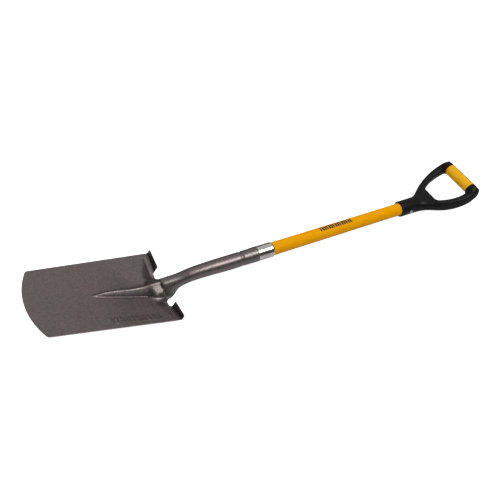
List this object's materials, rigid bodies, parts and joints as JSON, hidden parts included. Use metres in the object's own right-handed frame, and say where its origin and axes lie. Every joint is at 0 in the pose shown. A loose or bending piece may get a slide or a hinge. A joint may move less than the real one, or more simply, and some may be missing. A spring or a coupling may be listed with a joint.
{
  "type": "digging spade",
  "caption": "D-grip digging spade: pressed steel blade with raised frog and turned treads, rolled socket, zinc collar, fibreglass shaft and moulded grip.",
  "frame": {"origin": "floor point under the middle of the tool's box, the tool lying on its back with the dished front face up", "axes": "+X along the shaft from the blade to the grip, +Z out of the front face, +Y across the blade"},
  "size_m": [1.1444, 0.2042, 0.0895],
  "materials": {
    "hammered_paint_steel": "grey-brown hammered enamel on steel sheet, satin to gloss",
    "zinc_steel": "bright zinc plate",
    "yellow_fibreglass": "semi-gloss pigmented resin over pultruded glass fibre",
    "ash_core": "unfinished hardwood dowel",
    "black_moulded": "satin moulded polypropylene",
    "yellow_moulded": "satin moulded polypropylene",
    "bright_steel": "bright steel"
  },
  "bodies": {
    "root": {"spade_head": "hammered_paint_steel", "ferrule": "zinc_steel", "shaft_tube": "yellow_fibreglass", "socket_core": "ash_core", "grip_end_plug": "ash_core", "d_grip_frame": "black_moulded", "grip_sleeve": "yellow_moulded", "grip_rivet": "bright_steel"}
  },
  "joints": []
}
